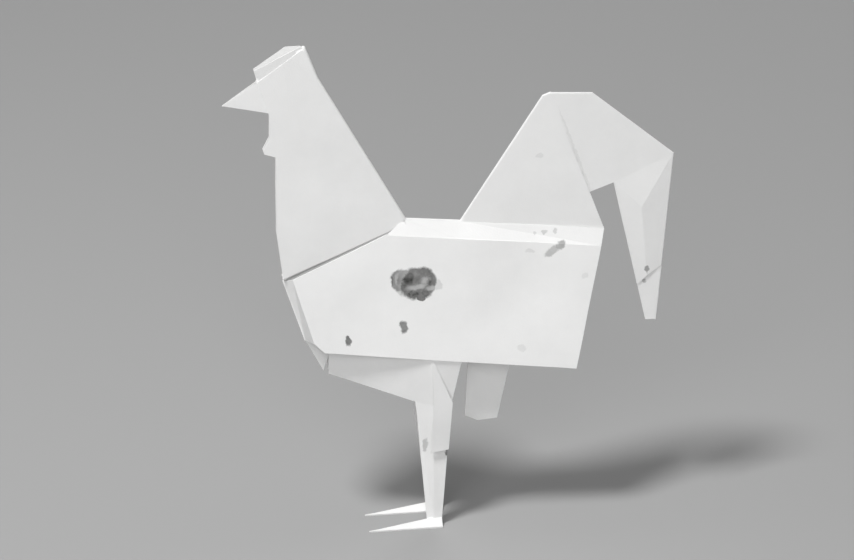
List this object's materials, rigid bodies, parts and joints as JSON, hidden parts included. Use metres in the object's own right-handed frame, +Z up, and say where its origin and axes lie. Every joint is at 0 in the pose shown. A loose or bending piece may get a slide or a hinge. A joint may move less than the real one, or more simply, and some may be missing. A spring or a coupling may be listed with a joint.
{
  "type": "origami rooster",
  "caption": "Standing rooster folded from one square of white paper, with a tall neck, hanging tail, two legs and flat feet.",
  "frame": {"origin": "on the floor between the feet, midway between the beak tip and the tail corner", "axes": "+Z up, the bird faces -X, +Y towards its right side"},
  "size_m": [0.1122, 0.0149, 0.1282],
  "materials": {
    "white_paper": "matte"
  },
  "bodies": {
    "root": {"folded_rooster": "white_paper"}
  },
  "joints": []
}
